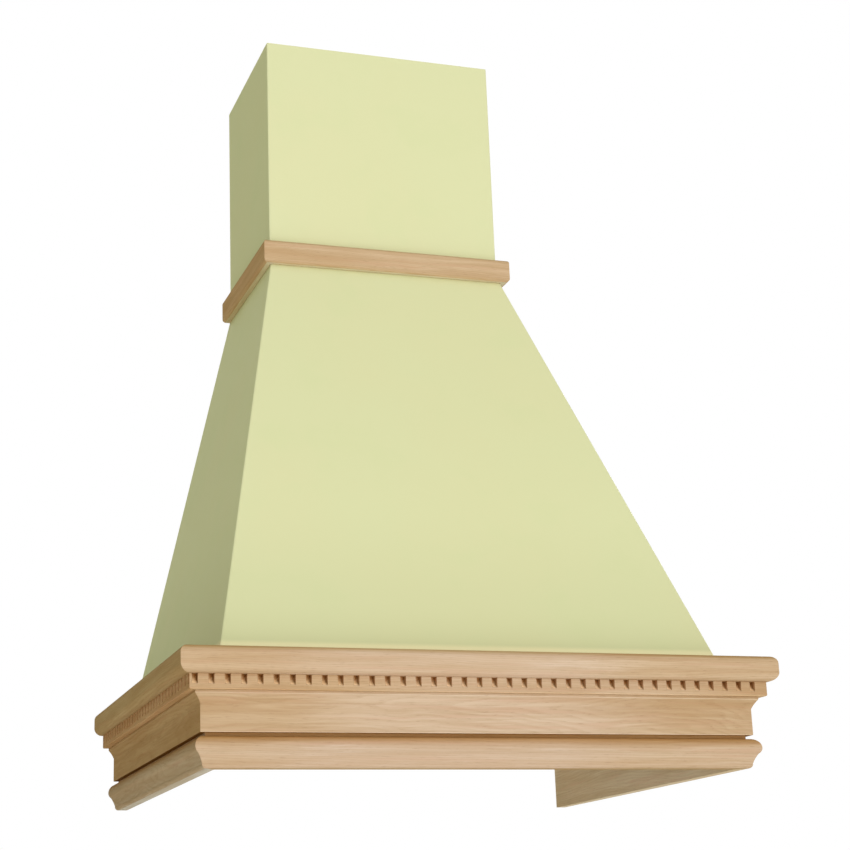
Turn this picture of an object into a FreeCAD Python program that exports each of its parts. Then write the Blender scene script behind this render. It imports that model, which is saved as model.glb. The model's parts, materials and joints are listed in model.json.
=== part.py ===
import FreeCAD, Part
import math
import os

# Cover for a kitchen range hood: a painted chimney and a painted tapering canopy,
# joined behind an oak collar, on an oak base with a cornice, dentils, a frieze and a
# lower rail. The back is open and stands against the wall.
# Millimetres. The origin is the centre of the footprint, on the plane that the lower
# rail stands on. +X is to the right seen from the room, +Y to the wall, +Z up.

V = FreeCAD.Vector

# ---------------------------------------------------------------- driving dimensions

# Overall, across the noses of the cornice
overall_width = 600.0
overall_depth = 490.0

# Boards
carcass_thickness = 10.0
deck_thickness = 18.0
panel_thickness = 12.0
rear_board_thickness = 18.0
panel_arris = 1.0

# Lower rail. Moulding depths are measured out from the carcass face.
rail_height = 28.5
rail_depth = 11.4
rail_bead_upper_radius = 9.4
rail_bead_lower_radius = 6.6
rail_bead_end = 58.0
rail_cavetto_sag = 0.45
rail_toe_height = 4.3
rail_toe_depth = 3.7
rail_foot_depth = 0.8

# Shadow groove and frieze
groove_height = 3.5
frieze_height = 37.0
frieze_thickness = 5.6
frieze_arris = 0.5
cove_depth = 5.9
cove_height = 9.0
cove_sag = 0.5
cove_lip = 2.5

# Dentil strip. Its notches are scooped: deepest under the cornice, and out below. Those
# of the front are deeper at their right walls than at their left walls.
dentil_height = 14.1
dentil_depth = 18.0
dentil_arris = 1.2
notch_pitch = 15.12
notch_width = 5.6
notch_height = 9.6
notch_depth = 7.5
notch_left_depth = 2.2
notch_belly = 0.75
notch_first = 4.9
least_tooth = 2.0

# Cornice
cornice_height = 24.7
cornice_depth = 28.0
cornice_top_round = 7.5
cornice_bottom_round = 8.5

# Canopy, its setbacks from the carcass faces, and the lip that the deck keeps inside it
canopy_height = 487.5
canopy_side_setback = 16.7
canopy_front_setback = 13.9
deck_lip = 5.0
rear_deck_width = 34.0

# Chimney and the middle frame that carries it
chimney_width = 275.8
chimney_depth = 198.5
chimney_height = 255.5
chimney_setback = 6.0
middle_ledge = 10.0
stretcher_height = 60.0

# Collar round the middle frame
collar_height = 26.7
collar_thickness = 10.5
collar_lap = 4.5
collar_top_round = 3.5
collar_bottom_round = 4.0

# Rear boards that are fixed to the wall
hanging_rail_height = 90.0
hanging_hole_spacing = 160.0
hanging_hole_radius = 4.0
rear_rail_height = 36.0
rear_hole_spacing = 400.0
rear_hole_radius = 3.0

# Corner battens and blocks
batten_leg = 20.0
block_leg = 25.0
block_height = 55.0

# Pilot holes in the deck for the extractor insert
insert_spacing = 200.0
insert_hole_radius = 1.75
insert_hole_depth = 14.0

# Countersunk wood screws
screw_radius = 2.0
screw_head_radius = 4.0
screw_head_height = 2.6
screw_tip = 5.0
deck_screw_length = 40.0
deck_screw_spacing = 130.0
deck_screw_margin = 45.0
middle_screw_length = 50.0
middle_screw_edge = 5.5
chimney_screw_length = 45.0
chimney_screw_margin = 55.0

# Dowels in the ends of the rear boards
dowel_radius = 4.0
dowel_in_board = 18.0
dowel_skin = 4.0
dowel_edge = 20.0
rear_dowel_radius = 3.0
rear_dowel_edge = 9.0

# Loose tongues across the mitres
cornice_tongue_thickness = 4.0
cornice_tongue_length = 16.0
cornice_tongue_width = 16.0
rail_tongue_thickness = 3.0
rail_tongue_length = 7.0
rail_tongue_width = 12.0

# ------------------------------------------------------------------ derived places

half_width = overall_width / 2
front_y = -overall_depth / 2
wall_y = overall_depth / 2
carcass_half = half_width - cornice_depth
carcass_front = front_y + cornice_depth

frieze_bottom = rail_height + groove_height
dentil_bottom = frieze_bottom + frieze_height
cornice_bottom = dentil_bottom + dentil_height
base_top = cornice_bottom + cornice_height
deck_bottom = base_top - deck_thickness

canopy_top = base_top + canopy_height
top_half = chimney_width / 2
top_depth = chimney_depth + chimney_setback
middle_thickness = collar_height - collar_lap
middle_top = canopy_top + middle_thickness
middle_front = wall_y - top_depth
chimney_front_y = wall_y - chimney_depth
chimney_top = middle_top + chimney_height

foot_half = carcass_half - canopy_side_setback
foot_depth = wall_y - carcass_front - canopy_front_setback
side_slope = (foot_half - top_half) / canopy_height
front_slope = (foot_depth - top_depth) / canopy_height
side_skin = panel_thickness * math.hypot(1, side_slope)
front_skin = panel_thickness * math.hypot(1, front_slope)

deck_side_width = canopy_side_setback + side_skin + deck_lip
deck_front_width = canopy_front_setback + front_skin + deck_lip
middle_side_width = panel_thickness + middle_ledge
middle_front_width = chimney_setback + panel_thickness + middle_ledge
rear_board_front = wall_y - rear_board_thickness

OUTSIDE = 1.0  # how far a cutting shape runs past the faces that it cuts
MITRE_REACH = 150.0  # how far inwards a mitre plane is drawn


def canopy_half_at(z):
    """Half the canopy's outer width at height z."""
    return foot_half - side_slope * (z - base_top)


def canopy_front_at(z):
    """The y of the canopy's outer front face at height z."""
    return wall_y - foot_depth + front_slope * (z - base_top)


# ------------------------------------------------------------------ shape helpers


def tapered(lower, lower_z, upper, upper_z):
    """A closed solid between two outlines with as many corners, in planes z."""
    below = [V(x, y, lower_z) for x, y in lower]
    above = [V(x, y, upper_z) for x, y in upper]
    count = len(below)
    rings = [below, above]
    for i in range(count):
        j = (i + 1) % count
        rings.append([below[i], below[j], above[j], above[i]])
    faces = [Part.Face(Part.makePolygon(ring + ring[:1])) for ring in rings]
    solid = Part.Solid(Part.Shell(faces))
    if solid.Volume < 0:
        solid.reverse()
    return solid


def upright(outline, bottom, top):
    """A prism of one outline between two heights."""
    return tapered(outline, bottom, outline, top)


def box(x0, x1, y0, y1, z0, z1):
    return Part.makeBox(x1 - x0, y1 - y0, z1 - z0, V(x0, y0, z0))


def mirrored(shape):
    """The right-hand twin of a left-hand piece."""
    return shape.mirror(V(0, 0, 0), V(1, 0, 0))


def group(solids):
    return Part.makeCompound(solids)


class Section:
    """A moulding's outline: out from the face that it is fixed to, and up."""

    def __init__(self, out, up):
        self.first = V(0, -out, up)
        self.last = self.first
        self.edges = []

    def line(self, out, up):
        end = V(0, -out, up)
        self.edges.append(Part.makeLine(self.last, end))
        self.last = end
        return self

    def arc(self, middle, end):
        middle = V(0, -middle[0], middle[1])
        end = V(0, -end[0], end[1])
        self.edges.append(Part.Arc(self.last, middle, end).toShape())
        self.last = end
        return self

    def round(self, centre, radius, start, stop):
        """An arc about a centre, between two angles in degrees from straight out."""
        points = []
        for angle in ((start + stop) / 2, stop):
            turn = math.radians(angle)
            out = centre[0] + radius * math.cos(turn)
            points.append((out, centre[1] + radius * math.sin(turn)))
        return self.arc(*points)

    def face(self):
        closing = Part.makeLine(self.last, self.first)
        return Part.Face(Part.Wire(self.edges + [closing]))


def mitre_wedge(side, half, front, bottom, top):
    """The space of the front or left run of a frame whose corner is (-half, front)."""
    near_x, near_y = -half - OUTSIDE, front - OUTSIDE
    far_x, far_y = -half + MITRE_REACH, front + MITRE_REACH
    if side == "front":
        outline = [(near_x, near_y), (-near_x, near_y), (-far_x, far_y), (far_x, far_y)]
    else:
        back = wall_y + OUTSIDE
        outline = [(near_x, near_y), (far_x, far_y), (far_x, back), (near_x, back)]
    return upright(outline, bottom - OUTSIDE, top + OUTSIDE)


def mitred_run(section, side, half, front):
    """A section drawn along the front or the left of a frame, and mitred.

    half and front place the face that the section is measured out from."""
    face = section.face()
    reach = face.BoundBox.YMax - face.BoundBox.YMin
    bottom, top = face.BoundBox.ZMin, face.BoundBox.ZMax
    if side == "front":
        face.translate(V(-half - reach, front, 0))
        run = face.extrude(V(2 * (half + reach), 0, 0))
    else:
        face.rotate(V(0, 0, 0), V(0, 0, 1), -90)
        face.translate(V(-half, front - reach, 0))
        run = face.extrude(V(0, wall_y - front + reach, 0))
    wedge = mitre_wedge(side, half + reach, front - reach, bottom, top)
    return run.common(wedge).Solids[0]


def screw(length, head, direction):
    """A countersunk screw with its head flush at the point head."""
    outline = [
        V(0, 0, 0),
        V(screw_head_radius, 0, 0),
        V(screw_radius, 0, screw_head_height),
        V(screw_radius, 0, length - screw_tip),
        V(0, 0, length),
        V(0, 0, 0),
    ]
    face = Part.Face(Part.makePolygon(outline))
    solid = face.revolve(V(0, 0, 0), V(0, 0, 1), 360)
    turn = FreeCAD.Rotation(V(0, 0, 1), direction)
    solid.Placement = FreeCAD.Placement(head, turn)
    return solid


def rod(radius, start, end):
    way = end - start
    return Part.makeCylinder(radius, way.Length, start, way)


def spread(start, stop, spacing):
    """Even places from start to stop, about a spacing apart."""
    count = max(1, round((stop - start) / spacing))
    return [start + (stop - start) * i / count for i in range(count + 1)]


# ---------------------------------------------------------------------- the base


def rail_section():
    """Lower rail: a bead, fuller above its nose, then a shallow hollow and a toe."""
    nose_height = rail_height - rail_bead_upper_radius
    upper = (rail_depth - rail_bead_upper_radius, nose_height)
    lower = (rail_depth - rail_bead_lower_radius, nose_height)
    turn = math.radians(-rail_bead_end)
    bead_out = lower[0] + rail_bead_lower_radius * math.cos(turn)
    bead_up = lower[1] + rail_bead_lower_radius * math.sin(turn)
    hollow = (
        (bead_out + rail_toe_depth) / 2 - rail_cavetto_sag,
        (bead_up + rail_toe_height) / 2,
    )
    toe = (
        rail_toe_depth - (rail_toe_depth - rail_foot_depth) / 4,
        rail_toe_height / 3,
    )
    section = Section(0, rail_height).line(upper[0], rail_height)
    section.round(upper, rail_bead_upper_radius, 90, 0)
    section.round(lower, rail_bead_lower_radius, 0, -rail_bead_end)
    section.arc(hollow, (rail_toe_depth, rail_toe_height))
    section.arc(toe, (rail_foot_depth, 0))
    return section.line(0, 0)


def frieze_section():
    """Frieze: a flat face under a shallow cove that spreads to the dentil strip."""
    lip_out = frieze_thickness + cove_depth
    cove_top = dentil_bottom - cove_lip
    chord = math.hypot(cove_depth, cove_height)
    hollow = (
        frieze_thickness + cove_depth / 2 - cove_sag * cove_height / chord,
        cove_top - cove_height / 2 + cove_sag * cove_depth / chord,
    )
    arris = (frieze_thickness - frieze_arris, frieze_bottom + frieze_arris)
    section = Section(0, dentil_bottom).line(lip_out, dentil_bottom)
    section.line(lip_out, cove_top)
    section.arc(hollow, (frieze_thickness, cove_top - cove_height))
    section.line(frieze_thickness, arris[1])
    section.round(arris, frieze_arris, 0, -90)
    return section.line(0, frieze_bottom)


def dentil_section():
    """Dentil strip before its notches are cut."""
    arris = (dentil_depth - dentil_arris, dentil_bottom + dentil_arris)
    section = Section(0, cornice_bottom).line(dentil_depth, cornice_bottom)
    section.line(dentil_depth, arris[1])
    section.round(arris, dentil_arris, 0, -90)
    return section.line(0, dentil_bottom)


def cornice_section():
    """Cornice: a square nose with a rounded top and a fuller round below."""
    upper = (cornice_depth - cornice_top_round, base_top - cornice_top_round)
    lower = (cornice_depth - cornice_bottom_round, cornice_bottom + cornice_bottom_round)
    section = Section(0, base_top).line(upper[0], base_top)
    section.round(upper, cornice_top_round, 90, 0)
    section.line(cornice_depth, lower[1])
    section.round(lower, cornice_bottom_round, 0, -90)
    return section.line(0, cornice_bottom)


def notch_places(start, stop):
    """Centres of the notches on a band, the first one near its start."""
    room = stop - start - notch_first - notch_width / 2 - least_tooth
    count = max(0, math.floor(room / notch_pitch)) + 1
    return [start + notch_first + i * notch_pitch for i in range(count)]


def scoop(depth):
    """A notch's outline on one of its side walls, as deep as that under the cornice."""
    bottom, top = cornice_bottom - notch_height, cornice_bottom + OUTSIDE
    belly = (dentil_depth - notch_belly * depth, cornice_bottom - notch_height / 2)
    outline = Section(dentil_depth + OUTSIDE, bottom).line(dentil_depth, bottom)
    outline.arc(belly, (dentil_depth - depth, cornice_bottom))
    return outline.line(dentil_depth - depth, top).line(dentil_depth + OUTSIDE, top).face()


def notch(side, place):
    """What one notch takes away, with its centre at a place along its strip."""
    if side == "front":
        left, right = scoop(notch_left_depth), scoop(notch_depth)
        left.translate(V(place - notch_width / 2, carcass_front, 0))
        right.translate(V(place + notch_width / 2, carcass_front, 0))
        return Part.makeLoft([left.OuterWire, right.OuterWire], True, True)
    wall = scoop(notch_depth)
    wall.rotate(V(0, 0, 0), V(0, 0, 1), -90)
    wall.translate(V(-carcass_half, place - notch_width / 2, 0))
    return wall.extrude(V(0, notch_width, 0))


def notches(side):
    """What is cut away between the teeth of the front or the left dentil strip."""
    face_half = carcass_half + dentil_depth
    spans = {
        "front": (-face_half, face_half),
        "left": (carcass_front - dentil_depth, wall_y),
    }
    return group([notch(side, place) for place in notch_places(*spans[side])])


def tongue(out, up, thickness, length, width):
    """A loose tongue lying flat across the left mitre, out from the carcass corner."""
    plate = box(-length / 2, length / 2, -width / 2, width / 2, 0, thickness)
    plate.rotate(V(0, 0, 0), V(0, 0, 1), 45)
    plate.translate(V(-carcass_half - out, carcass_front - out, up - thickness / 2))
    return plate


def deck_screws():
    """Screws down through the deck into the top edges of the carcass boards."""
    inset = carcass_thickness / 2
    screws = []
    reach = carcass_half - deck_screw_margin
    for x in spread(-reach, reach, deck_screw_spacing):
        head = V(x, carcass_front + inset, base_top)
        screws.append(screw(deck_screw_length, head, V(0, 0, -1)))
    start = carcass_front + deck_screw_margin
    for y in spread(start, wall_y - deck_screw_margin, deck_screw_spacing):
        head = V(-carcass_half + inset, y, base_top)
        left = screw(deck_screw_length, head, V(0, 0, -1))
        screws += [left, mirrored(left)]
    return group(screws)


def build_mouldings():
    """The oak mouldings on the outside of the base, mitred at the front corners."""
    cornice_tongue = tongue(
        cornice_depth / 2,
        cornice_bottom + cornice_height / 2,
        cornice_tongue_thickness,
        cornice_tongue_length,
        cornice_tongue_width,
    )
    rail_tongue = tongue(
        (rail_depth - rail_bead_upper_radius / 2) / 2,
        rail_height - rail_bead_upper_radius,
        rail_tongue_thickness,
        rail_tongue_length,
        rail_tongue_width,
    )
    sections = {
        "lower_rail": (rail_section, rail_tongue),
        "frieze": (frieze_section, None),
        "dentil_strip": (dentil_section, None),
        "cornice": (cornice_section, cornice_tongue),
    }
    made = {}
    for name, (section, loose) in sections.items():
        for side in ("front", "left"):
            run = mitred_run(section(), side, carcass_half, carcass_front)
            if name == "dentil_strip":
                run = run.cut(notches(side)).Solids[0]
            if loose:
                run = run.cut(group([loose, mirrored(loose)]))
            made[name + "_" + side] = run
        made[name + "_right"] = mirrored(made[name + "_left"])
    made["cornice_tongues"] = group([cornice_tongue, mirrored(cornice_tongue)])
    made["lower_rail_tongues"] = group([rail_tongue, mirrored(rail_tongue)])
    return made


def build_carcass():
    """The boards behind the mouldings, their corner blocks and the lower wall board."""
    made = {}
    section = Section(-carcass_thickness, 0).line(0, 0).line(0, deck_bottom)
    section.line(-carcass_thickness, deck_bottom)
    made["carcass_front"] = mitred_run(section, "front", carcass_half, carcass_front)
    left = mitred_run(section, "left", carcass_half, carcass_front)

    inner_half = carcass_half - carcass_thickness
    inner_front = carcass_front + carcass_thickness
    corner = [
        (-inner_half, inner_front),
        (-inner_half + block_leg, inner_front),
        (-inner_half, inner_front + block_leg),
    ]
    block = upright(corner, deck_bottom - block_height, deck_bottom)
    made["base_block_left"] = block
    made["base_block_right"] = mirrored(block)

    rail_bottom = deck_bottom - rear_rail_height
    rail = box(-inner_half, inner_half, rear_board_front, wall_y, rail_bottom, deck_bottom)
    middle_y = wall_y - rear_board_thickness / 2
    into_side = carcass_thickness - dowel_skin
    dowels = []
    for z in (rail_bottom + rear_dowel_edge, deck_bottom - rear_dowel_edge):
        start = V(-inner_half - into_side, middle_y, z)
        end = V(-inner_half + dowel_in_board, middle_y, z)
        dowels.append(rod(rear_dowel_radius, start, end))
    dowels = group(dowels + [mirrored(d) for d in dowels])
    for x in (-rear_hole_spacing / 2, rear_hole_spacing / 2):
        z = rail_bottom + rear_rail_height / 2
        start = V(x, rear_board_front - OUTSIDE, z)
        rail = rail.cut(rod(rear_hole_radius, start, V(x, wall_y + OUTSIDE, z)))
    made["rear_rail"] = rail.cut(dowels)
    made["rear_rail_dowels"] = dowels
    left = left.cut(dowels)
    made["carcass_left"] = left
    made["carcass_right"] = mirrored(left)
    return made


def build_deck():
    """The flat frame on the carcass: it carries the canopy, and the insert below it."""
    made = {}
    corner_half = carcass_half - deck_side_width
    corner_front = carcass_front + deck_front_width
    outline = [
        (-carcass_half, carcass_front),
        (carcass_half, carcass_front),
        (corner_half, corner_front),
        (-corner_half, corner_front),
    ]
    made["deck_front"] = upright(outline, deck_bottom, base_top)
    outline = [
        (-carcass_half, carcass_front),
        (-corner_half, corner_front),
        (-corner_half, wall_y),
        (-carcass_half, wall_y),
    ]
    left = upright(outline, deck_bottom, base_top)
    rear_front = wall_y - rear_deck_width
    made["deck_rear"] = box(
        -corner_half, corner_half, rear_front, wall_y, deck_bottom, base_top
    )
    hole_x = -(carcass_half - carcass_thickness + corner_half) / 2
    for y in (-insert_spacing / 2, insert_spacing / 2):
        start = V(hole_x, y, deck_bottom - OUTSIDE)
        end = V(hole_x, y, deck_bottom + insert_hole_depth)
        left = left.cut(rod(insert_hole_radius, start, end))
    made["deck_left"] = left
    made["deck_right"] = mirrored(left)
    return made


def build_base():
    made = {**build_mouldings(), **build_carcass(), **build_deck()}
    screws = deck_screws()
    for name in list(made):
        if name.startswith("carcass") or name in ("deck_front", "deck_left", "deck_right"):
            made[name] = made[name].cut(screws).Solids[0]
    made["deck_screws"] = screws
    return made


# ---------------------------------------------------------- the canopy and chimney


def front_outline(half, front, skin_x, skin_y):
    """Plan outline of a front panel, mitred, with its arrises taken off."""
    share = panel_arris / (skin_x + skin_y)
    left = [
        (-half + skin_x, front + skin_y),
        (-half + share * skin_x, front + share * skin_y),
        (-half + panel_arris, front),
    ]
    return left + [(-x, y) for x, y in reversed(left)]


def left_outline(half, front, skin_x, skin_y):
    """Plan outline of a left panel, mitred, with its arris taken off."""
    share = panel_arris / (skin_x + skin_y)
    return [
        (-half, front + panel_arris),
        (-half + share * skin_x, front + share * skin_y),
        (-half + skin_x, front + skin_y),
        (-half + skin_x, wall_y),
        (-half, wall_y),
    ]


def corner_outline(half, front, leg):
    """Plan outline of a three-sided batten in an inner front corner."""
    return [(-half, front), (-half + leg, front), (-half, front + leg)]


def canopy_piece(outline, bottom, top, *skins):
    """A piece of the canopy whose plan follows the taper between two heights."""
    lower = outline(canopy_half_at(bottom), canopy_front_at(bottom), *skins)
    upper = outline(canopy_half_at(top), canopy_front_at(top), *skins)
    return tapered(lower, bottom, upper, top)


def build_canopy():
    made = {}
    front = canopy_piece(front_outline, base_top, canopy_top, side_skin, front_skin)
    left = canopy_piece(left_outline, base_top, canopy_top, side_skin, front_skin)

    def batten_outline(half, front_face):
        return corner_outline(half - side_skin, front_face + front_skin, batten_leg)

    def rail_outline(half, front_face):
        inner = half - side_skin
        return [
            (-inner, rear_board_front),
            (inner, rear_board_front),
            (inner, wall_y),
            (-inner, wall_y),
        ]

    batten = canopy_piece(batten_outline, base_top, canopy_top)
    rail_bottom = canopy_top - hanging_rail_height
    rail = canopy_piece(rail_outline, rail_bottom, canopy_top)
    middle_y = wall_y - rear_board_thickness / 2
    dowels = []
    for z in (rail_bottom + dowel_edge, canopy_top - dowel_edge):
        face_x = -canopy_half_at(z) + side_skin
        start = V(face_x - panel_thickness + dowel_skin, middle_y, z)
        end = V(face_x + dowel_in_board, middle_y, z)
        dowels.append(rod(dowel_radius, start, end))
    dowels = group(dowels + [mirrored(d) for d in dowels])
    hole_z = rail_bottom + hanging_rail_height / 2
    for x in (-hanging_hole_spacing / 2, hanging_hole_spacing / 2):
        start = V(x, rear_board_front - OUTSIDE, hole_z)
        end = V(x, wall_y + OUTSIDE, hole_z)
        rail = rail.cut(rod(hanging_hole_radius, start, end))

    left = left.cut(dowels)
    made["canopy_front"] = front
    made["canopy_left"] = left
    made["canopy_right"] = mirrored(left)
    made["canopy_batten_left"] = batten
    made["canopy_batten_right"] = mirrored(batten)
    made["hanging_rail"] = rail.cut(dowels)
    made["hanging_rail_dowels"] = dowels
    return made


def build_middle_frame():
    """The frame between canopy and chimney, which the collar covers."""
    inner_half = top_half - middle_side_width
    rails_front = middle_front + middle_front_width
    z0, z1 = canopy_top, middle_top
    front = box(-top_half, top_half, middle_front, rails_front, z0, z1)
    left = box(-top_half, -inner_half, rails_front, wall_y, z0, z1)
    rear = box(-inner_half, inner_half, rear_board_front, wall_y, z0, z1)

    screws = []
    for z in (canopy_top + middle_screw_edge, middle_top - middle_screw_edge):
        head = V(-top_half + middle_side_width / 2, middle_front, z)
        screws.append(screw(middle_screw_length, head, V(0, 1, 0)))
    screws = group(screws + [mirrored(s) for s in screws])
    return {
        "middle_frame_front": front.cut(screws),
        "middle_frame_left": left.cut(screws),
        "middle_frame_right": mirrored(left.cut(screws)),
        "middle_frame_rear": rear,
        "middle_frame_screws": screws,
    }


def collar_section():
    """Collar strip: a flat face, its top arris eased and its lower one rounded."""
    collar_bottom = middle_top - collar_height
    upper = (collar_thickness - collar_top_round, middle_top - collar_top_round)
    lower = (collar_thickness - collar_bottom_round, collar_bottom + collar_bottom_round)
    inside = -collar_lap  # room for the part that is scribed to the canopy
    section = Section(inside, canopy_top).line(0, canopy_top).line(0, middle_top)
    section.line(upper[0], middle_top)
    section.round(upper, collar_top_round, 90, 0)
    section.line(collar_thickness, lower[1])
    section.round(lower, collar_bottom_round, 0, -90)
    return section.line(inside, collar_bottom)


def build_collar():
    """Three strips that cover the middle frame and lap over the canopy's top edge."""
    canopy_block = canopy_piece(
        lambda half, front: [(-half, front), (half, front), (half, wall_y), (-half, wall_y)],
        base_top,
        canopy_top,
    )
    made = {}
    for side in ("front", "left"):
        strip = mitred_run(collar_section(), side, top_half, middle_front)
        made["collar_" + side] = strip.cut(canopy_block).Solids[0]
    made["collar_right"] = mirrored(made["collar_left"])
    return made


def chimney_screws():
    """Screws up through the middle frame into the lower edges of the chimney."""
    inset = panel_thickness / 2
    screws = []
    for x in (-top_half / 2, top_half / 2):
        head = V(x, chimney_front_y + inset, canopy_top)
        screws.append(screw(chimney_screw_length, head, V(0, 0, 1)))
    for y in (chimney_front_y + chimney_screw_margin, wall_y - chimney_screw_margin):
        head = V(-top_half + inset, y, canopy_top)
        left = screw(chimney_screw_length, head, V(0, 0, 1))
        screws += [left, mirrored(left)]
    return group(screws)


def build_chimney():
    made = {}
    size = (top_half, chimney_front_y, panel_thickness, panel_thickness)
    left = upright(left_outline(*size), middle_top, chimney_top)
    made["chimney_front"] = upright(front_outline(*size), middle_top, chimney_top)
    made["chimney_left"] = left
    made["chimney_right"] = mirrored(left)
    inner_half = top_half - panel_thickness
    corner = corner_outline(inner_half, chimney_front_y + panel_thickness, batten_leg)
    batten = upright(corner, middle_top, chimney_top)
    made["chimney_batten_left"] = batten
    made["chimney_batten_right"] = mirrored(batten)
    made["chimney_stretcher"] = box(
        -inner_half,
        inner_half,
        rear_board_front,
        wall_y,
        chimney_top - stretcher_height,
        chimney_top,
    )
    return made


def build_upper():
    made = {**build_middle_frame(), **build_chimney()}
    screws = chimney_screws()
    for name in ("front", "left", "right"):
        for part in ("chimney_", "middle_frame_"):
            made[part + name] = made[part + name].cut(screws).Solids[0]
    made["chimney_screws"] = screws
    return made


# ------------------------------------------------------------------------- output

os.makedirs("parts", exist_ok=True)
pieces = {**build_base(), **build_canopy(), **build_upper(), **build_collar()}
for name, shape in pieces.items():
    shape.exportStep("parts/" + name + ".step")
    print(name, len(shape.Solids), "solids", round(shape.Volume), "mm3", shape.isValid())
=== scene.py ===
import json
import math
import random

import bmesh
import bpy
from mathutils import Matrix, Vector


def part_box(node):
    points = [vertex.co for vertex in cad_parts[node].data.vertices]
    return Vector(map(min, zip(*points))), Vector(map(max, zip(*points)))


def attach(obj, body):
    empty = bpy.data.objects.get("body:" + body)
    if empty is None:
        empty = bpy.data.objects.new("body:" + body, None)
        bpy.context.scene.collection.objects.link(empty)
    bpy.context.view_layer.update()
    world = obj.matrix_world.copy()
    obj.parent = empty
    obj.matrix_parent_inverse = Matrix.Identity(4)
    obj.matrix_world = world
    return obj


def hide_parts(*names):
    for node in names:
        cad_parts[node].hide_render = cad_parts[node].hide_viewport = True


# Looks of a kitchen range hood cover: painted chimney and canopy on an oak base.
# Metres, in the part's own frame: +X to the right, +Y to the wall, +Z up.

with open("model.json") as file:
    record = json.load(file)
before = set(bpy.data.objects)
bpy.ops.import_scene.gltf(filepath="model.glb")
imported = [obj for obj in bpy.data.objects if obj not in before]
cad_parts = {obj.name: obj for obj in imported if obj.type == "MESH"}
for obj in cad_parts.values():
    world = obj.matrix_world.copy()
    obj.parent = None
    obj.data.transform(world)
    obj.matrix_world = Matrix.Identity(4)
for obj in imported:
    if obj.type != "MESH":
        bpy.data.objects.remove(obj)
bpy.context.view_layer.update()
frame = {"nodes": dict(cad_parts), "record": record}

MM = 0.001

# ------------------------------------------------------------------ camera and room

CAMERA_PLACE = (-0.62418, -1.84299, -0.16460)
CAMERA_TURN = 18.136  # degrees to the right of the wall's normal
CAMERA_TILT = 15.892  # degrees upwards
CAMERA_ROLL = -1.823
CAMERA_LENS = 77.44  # mm, as is the sensor's width
CAMERA_SENSOR = 36.0
CAMERA_SHIFT = (0.0456, 0.0096)
CAMERA_REACH = 100.0

FLOOR_HEIGHT = -2.3  # the lamps stand clear of the floor
FLOOR_RADIUS = 7.0
FLOOR_FADE = (0.35, 0.8)  # shares of the radius between which it turns white
FLOOR_RINGS = 8
FLOOR_SIDES = 64


def srgb(red, green, blue):
    """A colour written in 0 to 255 display values, as a shader takes it."""

    def linear(value):
        value /= 255
        return value / 12.92 if value <= 0.04045 else ((value + 0.055) / 1.055) ** 2.4

    return (linear(red), linear(green), linear(blue), 1.0)


def add_camera():
    camera = bpy.data.objects.new("camera", bpy.data.cameras.new("camera"))
    bpy.context.scene.collection.objects.link(camera)
    turn = Matrix.Rotation(math.radians(-CAMERA_TURN), 4, "Z")
    tilt = Matrix.Rotation(math.radians(90 + CAMERA_TILT), 4, "X")
    roll = Matrix.Rotation(math.radians(CAMERA_ROLL), 4, "Z")
    camera.matrix_world = Matrix.Translation(CAMERA_PLACE) @ turn @ tilt @ roll
    camera.data.lens = CAMERA_LENS
    camera.data.sensor_width = CAMERA_SENSOR
    camera.data.shift_x, camera.data.shift_y = CAMERA_SHIFT
    camera.data.clip_end = CAMERA_REACH
    bpy.context.scene.camera = camera


def add_lamp(name, place, aim, size, power, colour):
    """A soft square lamp of a size in metres and a power in watts, turned to a point."""
    data = bpy.data.lights.new(name, "AREA")
    data.shape = "SQUARE"
    data.size = size
    data.energy = power
    data.color = colour
    lamp = bpy.data.objects.new(name, data)
    bpy.context.scene.collection.objects.link(lamp)
    turn = (Vector(aim) - Vector(place)).to_track_quat("-Z", "Y")
    lamp.matrix_world = Matrix.Translation(place) @ turn.to_matrix().to_4x4()
    lamp.visible_camera = False


# ------------------------------------------------------------------ material helpers

CORNER_RAYS = 6  # that look from each point of a surface for what stands near it


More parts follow.
